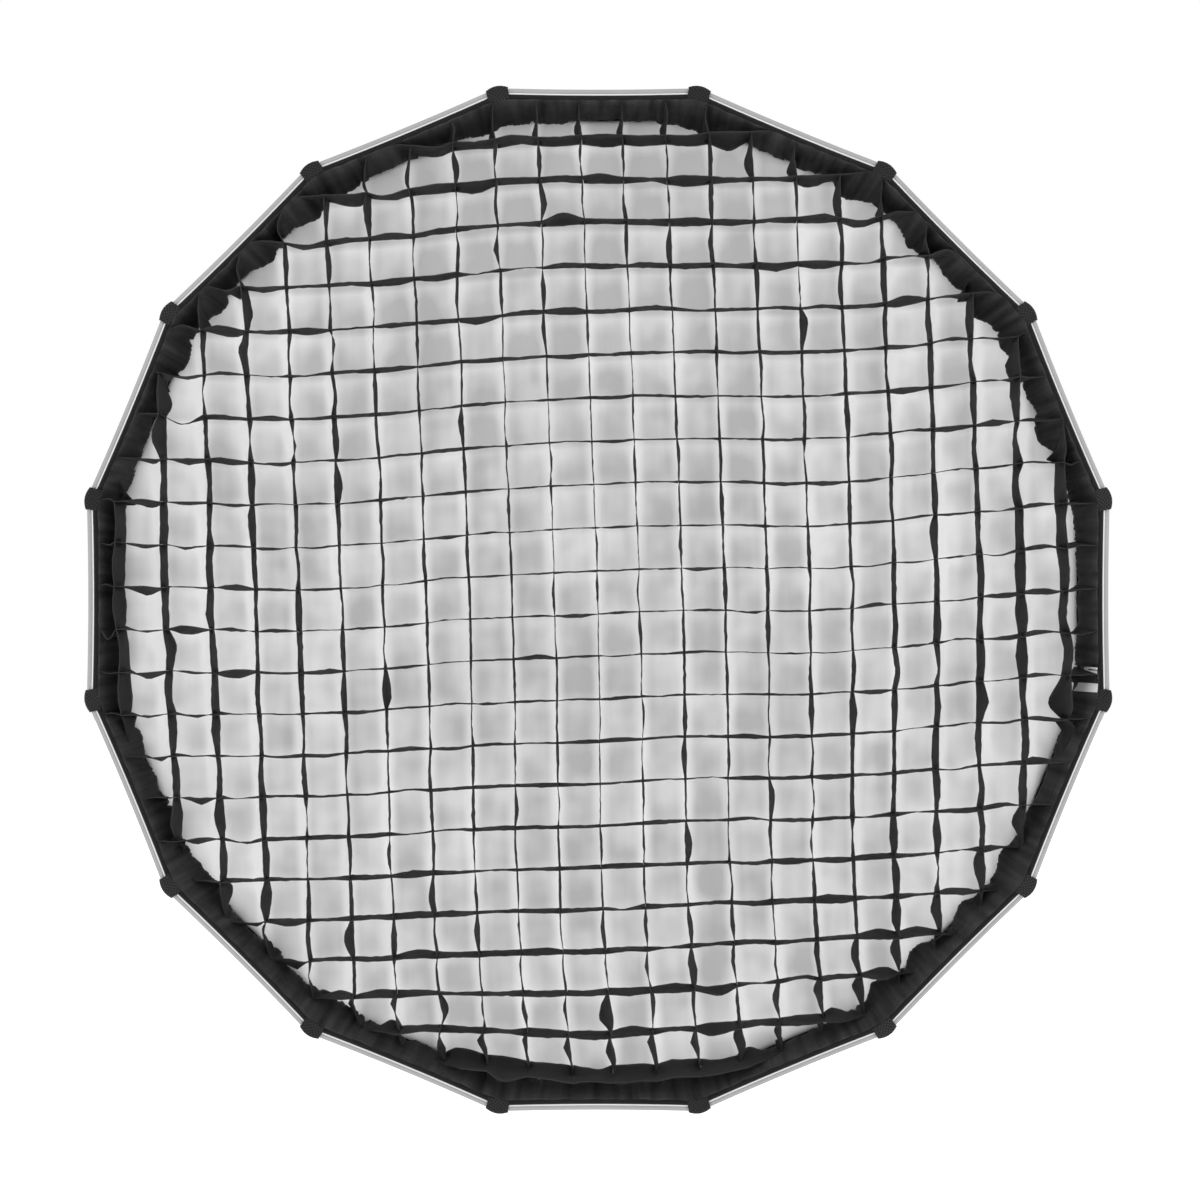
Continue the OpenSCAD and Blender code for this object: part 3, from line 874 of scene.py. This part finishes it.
TAB_LOW, TAB_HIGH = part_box("closure_tab")[0].z / MM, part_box("closure_tab")[1].z / MM
TAG_LOW, TAG_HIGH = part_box("care_tag")[0].z / MM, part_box("care_tag")[1].z / MM
TAB_THICKNESS, TAG_THICKNESS = 1.6, 0.3
# The tab's gap to the skirt, and how far it goes beyond its CAD node at each side, so that it is 10 mm wide
TAB_LIFT = 0.6
TAB_WIDER = 0.51


def on_skirt(name, heights, fronts, backs, lifts, thickness, material, slot, node):
    """A small sheet that lies on the skirt's inner face, beside its joint. Each height has the depths
    that the sheet goes between there, and how far it stands off the skirt."""
    rows = 25
    depth = fronts + (backs - fronts) * np.linspace(0, 1, rows)[:, None]
    angle = np.arcsin(heights / SKIRT_INNER)
    for _ in range(3):
        distance = skirt_wall(SKIRT_INNER)(angle, depth) - lifts
        angle = np.arcsin(heights / distance)
    points = xyz(distance * np.cos(angle), depth, heights).reshape(-1, 3)
    weave = xyz(heights, depth, 0).reshape(-1, 3)
    piece = Piece(name)
    piece.add_sheet(points, lattice_faces(rows, len(heights)), weave, thickness)
    piece = piece.build(material, "grid", slot, [node])


tab_heights = np.linspace(TAB_LOW - TAB_WIDER, TAB_HIGH + TAB_WIDER, 13)
on_skirt(
    "closure_tab_webbing",
    tab_heights,
    GRID_FRONT + 0.6 + rng.normal(0, 0.25, len(tab_heights)),
    GRID_BACK + 1.0 + rng.normal(0, 0.25, len(tab_heights)),
    TAB_THICKNESS / 2 + TAB_LIFT,
    TAB_THICKNESS, webbing, "webbing", "closure_tab",
)
tag_tail = np.linspace(TAG_HIGH + 1.5, GAP_HIGH - 0.4, 16)
tag_heights = np.concatenate([np.linspace(TAG_LOW, TAG_HIGH, 9), tag_tail])
on_skirt(
    "care_tag_cloth",
    tag_heights,
    GRID_FRONT + 1.4,
    np.interp(tag_heights, [TAG_LOW, TAG_HIGH, GAP_HIGH], [GRID_BACK - 3.5, GRID_BACK - 11, GRID_BACK - 20]),
    np.interp(tag_heights, [GAP_LOW - 0.8, GAP_LOW + 1.5, GAP_HIGH], [0.35, -0.4, -1.0]),
    TAG_THICKNESS, tag_cloth, "tag_fabric", "care_tag",
)

# ---- Stitching ----

STITCH_PITCH = 5.0
STITCH_LENGTH = 3.4
THREAD_RADIUS = 0.28


def sew(piece, points, along, out):
    """Adds a stitch at each point: a short thread that lies along the cloth and dips in at both ends."""
    along = along / np.linalg.norm(along, axis=1, keepdims=True)
    out = out / np.linalg.norm(out, axis=1, keepdims=True)
    side = np.cross(along, out)
    stages = ((-0.5, 0.3, -0.3), (-0.3, 1.0, 0.5), (0.3, 1.0, 0.5), (0.5, 0.3, -0.3))
    rings = []
    for place, width, lift in stages:
        middle = points + along * place * STITCH_LENGTH + out * lift * THREAD_RADIUS
        for turn in range(4):
            spoke = out * math.cos(turn * math.pi / 2) + side * math.sin(turn * math.pi / 2)
            rings.append(middle + spoke * width * THREAD_RADIUS)
    solid = np.stack(rings, axis=1).reshape(-1, 3)
    walls = lattice_faces(len(stages), 4, closed=True)
    one = np.concatenate([walls, [[3, 2, 1, 0], [12, 13, 14, 15]]])
    faces = (one[None] + 16 * np.arange(len(points))[:, None, None]).reshape(-1, 4)
    piece.add(solid, faces, solid)


def rim_seam(piece, radius, depth, out_sign, keep=None, front=False):
    """A row of stitches round the rim. radius(angle, depth) is the face it is sewn on."""
    count = int(FULL_TURN * RIM_EDGE / STITCH_PITCH)
    angle = (np.arange(count) + 0.5) / count * FULL_TURN
    step = 1e-3
    here, after = [
        xyz(radius(a, depth) * np.cos(a), depth, radius(a, depth) * np.sin(a)) for a in (angle, angle + step)
    ]
    outward = xyz(np.cos(angle), 0, np.sin(angle)) * out_sign
    if front:
        outward = np.broadcast_to([0.0, -1.0, 0.0], here.shape)
    use = np.ones(count, bool) if keep is None else keep(angle, depth, radius(angle, depth))
    sew(piece, here[use], (after - here)[use], outward[use])


SEAM_EDGE = 2.2
for node in ("front_loop_tape", "rear_loop_tape"):
    _, _, tape_front, tape_back = wall(node)
    for depth in (tape_front + SEAM_EDGE, tape_back - SEAM_EDGE):
        rim_seam(black_seams, lip_wall(LIP_OUTER), depth, 1)
pocket_middle = pocket_points(POCKET_ROWS, np.zeros((3, 2 * POCKET_ROWS)))
face_depth = pocket_middle[3, POCKET_MIDDLE, 1] - POCKET_THICKNESS / 2
for corner in range(SIDES):
    outward, sideways = corner_frame(corner)
    toward = np.array([0.0, -1.0, 0.0])
    for side in (-1, 1):
        out_at = RIM_CORNER - 13 + np.arange(3) * 4.2
        centres = out_at[:, None] * outward + side * (POCKET_HALF - 2.2) * sideways + face_depth * -toward
        sew(black_seams, centres, np.tile(outward, (3, 1)), np.tile(toward, (3, 1)))
black_seams.build(black_thread, "rim", "lip_fabric")

grid_seams = Piece("black_stitching_grid")
_, _, hook_front, hook_back = wall("grid_hook_tape")
for depth in (hook_front + SEAM_EDGE, hook_back - SEAM_EDGE):
    rim_seam(grid_seams, skirt_wall(SKIRT_INNER), depth, -1, keep=off_joint)
rim_seam(grid_seams, skirt_wall(SKIRT_INNER), GRID_BACK - SEAM_EDGE, -1, keep=off_joint)
tab_row = np.linspace(GRID_FRONT + 3, GRID_BACK - 3, 11)
for height in (TAB_LOW + 1.6, TAB_HIGH - 1.6):
    distance = skirt_wall(SKIRT_INNER)(math.asin(height / SKIRT_INNER), tab_row) - TAB_THICKNESS - TAB_LIFT
    turn = np.arcsin(height / distance)
    centres = xyz(distance * np.cos(turn), tab_row, height)
    inward = xyz(-np.cos(turn), 0, -np.sin(turn))
    sew(grid_seams, centres, np.tile([0.0, 1.0, 0.0], (len(tab_row), 1)), inward)
grid_seams.build(black_thread, "grid", "grid_fabric")

# The binding's seam is 60 degrees round its bend
seam_apart = fold_middle - 0.5 * fold_half
seam_front = fold_front - fold_depth * math.sqrt(0.75) - BINDING_THICKNESS / 2
binding_seam = Piece("grey_stitching_binding")
rim_seam(
    binding_seam, lambda angle, _: polygon_radius(angle, seam_apart) - bow(angle), seam_front, 1, front=True
)
binding_seam.build(grey_thread, "rim", "binding_tape")

# ---- Diffuser ----

CLOTH_APART = wall("diffuser_hook_band")[0] - drift(CLOTH_BACK)
CLOTH_STEPS = 480
rings = np.concatenate([[0.004], np.linspace(0, 1, 84)[1:]])
angle, share = np.meshgrid(np.arange(CLOTH_STEPS) / CLOTH_STEPS * FULL_TURN, rings)
distance = polygon_radius(angle, CLOTH_APART) * share
cloth_x, cloth_z = distance * np.cos(angle), distance * np.sin(angle)
# It sways a little and has two creases, one upright and one slanting
sway = np.sin(cloth_x / 61 + 0.7) * np.sin(cloth_z / 83) + 0.6 * np.sin(cloth_x / 23 + cloth_z / 37)
crease = np.exp(-(((cloth_x - 7) / 2.5) ** 2)) + 0.5 * np.exp(-(((cloth_x + 0.7 * cloth_z + 240) / 3) ** 2))
cloth_y = (CLOTH_FRONT + CLOTH_BACK) / 2 + (0.5 * sway - 0.7 * crease) * (1 - share**6)
cloth_points = xyz(cloth_x, cloth_y, cloth_z).reshape(-1, 3)
cloth_weave = xyz(cloth_x, cloth_z, 0).reshape(-1, 3)
rung = np.arange(CLOTH_STEPS // 2)
opposite = CLOTH_STEPS - rung
centre_faces = np.stack([rung + 1, rung, opposite % CLOTH_STEPS, opposite - 1], axis=1)
cloth_faces = np.concatenate([lattice_faces(len(rings), CLOTH_STEPS, closed=True), centre_faces])
diffuser = Piece("diffuser_cloth_sheet")
diffuser.add_sheet(cloth_points, cloth_faces, cloth_weave, CLOTH_BACK - CLOTH_FRONT)
diffuser = diffuser.build(diffuser_cloth, "diffuser", "diffuser_fabric", ["diffuser_cloth"])
# The place in the lattice that hangs in front of each point
place = mesh_points(diffuser.data)
across, up = place[:, 0], place[:, 2] + DROP
for _ in range(8):
    x, z = hung(across, up)
    across, up = across + place[:, 0] - x, up + place[:, 2] - z
# The painted light and shade of the cells is left off the cloth's back
half = len(place) // 2
behind = slice(half, None) if place[:half, 1].mean() < place[half:, 1].mean() else slice(0, half)
across[behind] = up[behind] = 0
cells = diffuser.data.attributes.new("cells", "FLOAT_VECTOR", "POINT")
cells.data.foreach_set("vector", xyz(across, up, 0).astype(np.float32).ravel())

# ---- Light, floor and camera, in metres ----


def area_light(name, place, size, power):
    data = bpy.data.lights.new(name, "AREA")
    data.size = size
    data.energy = power
    light = bpy.data.objects.new(name, data)
    bpy.context.scene.collection.objects.link(light)
    light.location = place
    light.rotation_mode = "QUATERNION"
    light.rotation_quaternion = light.location.to_track_quat("Z", "Y")


world = bpy.data.worlds.new("white_room")
bpy.context.scene.world = world
world.use_nodes = True
background = world.node_tree.nodes["Background"].inputs
background["Color"].default_value = grey(1.0)
background["Strength"].default_value = 1.0
area_light("left_light", (-2.6, -2.6, 1.4), 1.6, 14)
area_light("right_light", (2.8, -2.4, 0.8), 1.6, 9)

floor_height = -0.9
floor_mesh = bpy.data.meshes.new("floor")
far = 14.0
floor_corners = [(x * far, y * far, floor_height) for x, y in ((-1, -1), (1, -1), (1, 1), (-1, 1))]
floor_mesh.from_pydata(floor_corners, [], [(0, 1, 2, 3)])
floor = bpy.data.objects.new("floor", floor_mesh)
bpy.context.scene.collection.objects.link(floor)
floor_white = bpy.data.materials.new("floor_white")
floor_white.use_nodes = True
floor_shader = floor_white.node_tree.nodes["Principled BSDF"].inputs
floor_shader["Base Color"].default_value = grey(0.9)
floor_shader["Emission Color"].default_value = grey(1.0)
floor_shader["Emission Strength"].default_value = 0.4
floor_mesh.materials.append(floor_white)

VIEW_WIDTH = 1.395
VIEW_DISTANCE = 2.6
camera_data = bpy.data.cameras.new("camera")
camera_data.sensor_width = 36.0
camera_data.lens = 36.0 * VIEW_DISTANCE / VIEW_WIDTH
camera = bpy.data.objects.new("camera", camera_data)
bpy.context.scene.collection.objects.link(camera)
camera.location = (0.002, FRONT * MM - VIEW_DISTANCE, -0.0003)
camera.rotation_euler = (math.pi / 2, 0, 0)
bpy.context.scene.camera = camera
bpy.context.scene.view_settings.view_transform = "Standard"
